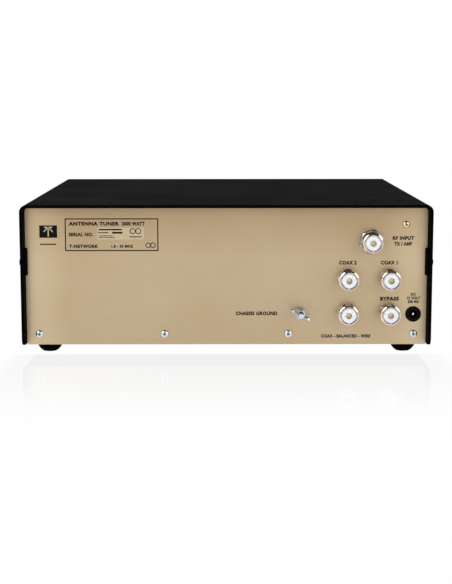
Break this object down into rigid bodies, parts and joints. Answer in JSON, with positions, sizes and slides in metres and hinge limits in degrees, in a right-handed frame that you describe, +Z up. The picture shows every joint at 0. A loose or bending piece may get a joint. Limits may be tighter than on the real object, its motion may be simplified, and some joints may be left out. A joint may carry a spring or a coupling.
{
  "type": "antenna tuner",
  "caption": "Bench antenna tuner: black wrap-round cover, brushed rear panel with coaxial sockets, variable capacitors, roller inductor and crossed-needle meter inside.",
  "frame": {"origin": "middle of the bounding box, at the bottom of the rubber feet", "axes": "+Z up, front panel faces -Y, rear panel with the sockets faces +Y, +X is to the right seen from the front"},
  "size_m": [0.321, 0.336, 0.1193],
  "materials": {
    "black_paint": "satin",
    "champagne": "brushed",
    "nickel": "polished",
    "zinc": "satin",
    "ptfe": "satin",
    "gold": "polished",
    "rubber": "matte",
    "black_plastic": "satin",
    "brass": "satin",
    "board": "gloss",
    "phenolic": "satin",
    "aluminium": "satin",
    "steatite": "matte",
    "silver_plate": "satin",
    "copper": "satin",
    "number_wheel": "gloss",
    "scale_card": "matte",
    "lens": "clear"
  },
  "bodies": {
    "case": {"chassis_pan": "black_paint", "rubber_feet": "rubber", "foot_screws": "zinc", "top_cover": "black_paint", "cover_brackets": "black_paint", "cover_screws": "black_paint", "rear_panel": "champagne", "front_panel": "black_paint", "panel_screws": "zinc", "rf_input_socket": "nickel", "coax_1_socket": "nickel", "coax_2_socket": "nickel", "coax_3_socket": "nickel", "bypass_socket": "nickel", "socket_insulators": "ptfe", "socket_contacts": "gold", "rf_input_nut": "nickel", "dc_jack": "black_plastic", "dc_jack_pin": "gold", "ground_stud": "zinc", "input_stator": "aluminium", "output_stator": "aluminium", "capacitor_frames": "phenolic", "ball_drives": "brass", "inductor_frame": "phenolic", "counter_frame": "aluminium", "switch_wafer": "phenolic", "meter_housing": "black_plastic", "meter_lens": "lens", "meter_scale": "scale_card", "button_switches": "black_plastic", "bridge_board": "board", "bridge_screw": "brass", "copper_straps": "copper"},
    "input_tuning": {"input_rotor": "aluminium", "input_dial": "aluminium"},
    "input_knob_body": {"input_knob": "black_plastic"},
    "output_tuning": {"output_rotor": "aluminium", "output_dial": "aluminium"},
    "output_knob_body": {"output_knob": "black_plastic"},
    "inductor_rotor": {"inductor_shaft": "zinc", "inductor_drum": "steatite", "inductor_coil": "silver_plate", "crank_knob": "black_plastic"},
    "crank_handle_body": {"crank_handle": "black_plastic"},
    "roller_bush_body": {"roller_bush": "zinc"},
    "roller_wheel_body": {"roller_wheel": "brass"},
    "counter_gear_body": {"counter_gear": "brass"},
    "counter_units": {"counter_units_wheel": "number_wheel"},
    "counter_tens": {"counter_tens_wheel": "number_wheel"},
    "counter_hundreds": {"counter_hundreds_wheel": "number_wheel"},
    "selector": {"selector_knob": "black_plastic", "selector_shaft": "zinc"},
    "forward_pointer": {"forward_needle": "aluminium"},
    "reflected_pointer": {"reflected_needle": "aluminium"},
    "range_push": {"range_button": "black_plastic"},
    "peak_push": {"peak_button": "black_plastic"},
    "lamp_push": {"lamp_button": "black_plastic"},
    "clamp_washer": {"ground_washer": "zinc"},
    "clamp_wing": {"wing_nut": "zinc"}
  },
  "joints": [
    {"name": "input_capacitor_turn", "type": "hinge", "parent": "case", "child": "input_tuning", "pos_m": [-0.024, -0.1345, 0.057], "axis": [0, 1, 0], "range_deg": [0, 180]},
    {"name": "input_knob_turn", "type": "hinge", "parent": "case", "child": "input_knob_body", "pos_m": [-0.024, -0.1345, 0.057], "axis": [0, 1, 0], "range_deg": [0, 1080]},
    {"name": "output_capacitor_turn", "type": "hinge", "parent": "case", "child": "output_tuning", "pos_m": [0.118, -0.1345, 0.057], "axis": [0, 1, 0], "range_deg": [0, 180]},
    {"name": "output_knob_turn", "type": "hinge", "parent": "case", "child": "output_knob_body", "pos_m": [0.118, -0.1345, 0.057], "axis": [0, 1, 0], "range_deg": [0, 1080]},
    {"name": "inductor_turn", "type": "hinge", "parent": "case", "child": "inductor_rotor", "pos_m": [0.05, -0.1345, 0.057], "axis": [0, 1, 0], "range_deg": [0, 9720]},
    {"name": "crank_handle_spin", "type": "hinge", "parent": "inductor_rotor", "child": "crank_handle_body", "pos_m": [0.05, -0.1345, 0.072], "axis": [0, 1, 0], "continuous": true},
    {"name": "roller_travel", "type": "slide", "parent": "case", "child": "roller_bush_body", "axis": [0, 1, 0], "range_m": [0, 0.0972]},
    {"name": "roller_spin", "type": "hinge", "parent": "roller_bush_body", "child": "roller_wheel_body", "pos_m": [0.05, -0.0847, 0.08935], "axis": [0, -1, 0], "range_deg": [0, 29160]},
    {"name": "counter_gear_turn", "type": "hinge", "parent": "case", "child": "counter_gear_body", "pos_m": [0.07, -0.1205, 0.093], "axis": [0, -1, 0], "range_deg": [0, 9720]},
    {"name": "counter_units_turn", "type": "hinge", "parent": "case", "child": "counter_units", "pos_m": [0.05, -0.1205, 0.093], "axis": [-1, 0, 0], "range_deg": [0, 9720]},
    {"name": "counter_tens_turn", "type": "hinge", "parent": "case", "child": "counter_tens", "pos_m": [0.05, -0.1205, 0.093], "axis": [-1, 0, 0], "range_deg": [0, 972]},
    {"name": "counter_hundreds_turn", "type": "hinge", "parent": "case", "child": "counter_hundreds", "pos_m": [0.05, -0.1205, 0.093], "axis": [-1, 0, 0], "range_deg": [0, 97.2]},
    {"name": "selector_turn", "type": "hinge", "parent": "case", "child": "selector", "pos_m": [-0.11085, -0.1345, 0.0476], "axis": [0, 1, 0], "range_deg": [0, 150]},
    {"name": "forward_needle_swing", "type": "hinge", "parent": "case", "child": "forward_pointer", "pos_m": [-0.081, -0.1325, 0.076], "axis": [0, 1, 0], "range_deg": [0, 55], "stiffness_Nm_per_rad": 0.0002, "springref_deg": -20.05},
    {"name": "reflected_needle_swing", "type": "hinge", "parent": "case", "child": "reflected_pointer", "pos_m": [-0.129, -0.1325, 0.076], "axis": [0, -1, 0], "range_deg": [0, 55], "stiffness_Nm_per_rad": 0.0002, "springref_deg": -20.05},
    {"name": "range_button_press", "type": "slide", "parent": "case", "child": "range_push", "axis": [0, 1, 0], "range_m": [0, 0.003], "stiffness_N_per_m": 400, "springref_m": -0.002},
    {"name": "peak_button_press", "type": "slide", "parent": "case", "child": "peak_push", "axis": [0, 1, 0], "range_m": [0, 0.003], "stiffness_N_per_m": 400, "springref_m": -0.002},
    {"name": "lamp_button_press", "type": "slide", "parent": "case", "child": "lamp_push", "axis": [0, 1, 0], "range_m": [0, 0.003], "stiffness_N_per_m": 400, "springref_m": -0.002},
    {"name": "washer_travel", "type": "slide", "parent": "case", "child": "clamp_washer", "axis": [0, 1, 0], "range_m": [0, 0.004]},
    {"name": "wing_nut_turn", "type": "hinge", "parent": "clamp_washer", "child": "clamp_wing", "pos_m": [-0.0578, 0.153, 0.0339], "axis": [0, 1, 0], "range_deg": [0, 1800]}
  ],
  "couplings": [
    {"joint": "input_knob_turn", "follows": "input_capacitor_turn", "ratio": 6},
    {"joint": "output_knob_turn", "follows": "output_capacitor_turn", "ratio": 6},
    {"joint": "roller_travel", "follows": "inductor_turn", "m_per_rad": 0.00057296},
    {"joint": "roller_spin", "follows": "inductor_turn", "ratio": 3},
    {"joint": "counter_gear_turn", "follows": "inductor_turn", "ratio": 1},
    {"joint": "counter_units_turn", "follows": "inductor_turn", "ratio": 1},
    {"joint": "counter_tens_turn", "follows": "inductor_turn", "ratio": 0.1},
    {"joint": "counter_hundreds_turn", "follows": "inductor_turn", "ratio": 0.01},
    {"joint": "washer_travel", "follows": "wing_nut_turn", "m_per_rad": 0.00012732}
  ]
}
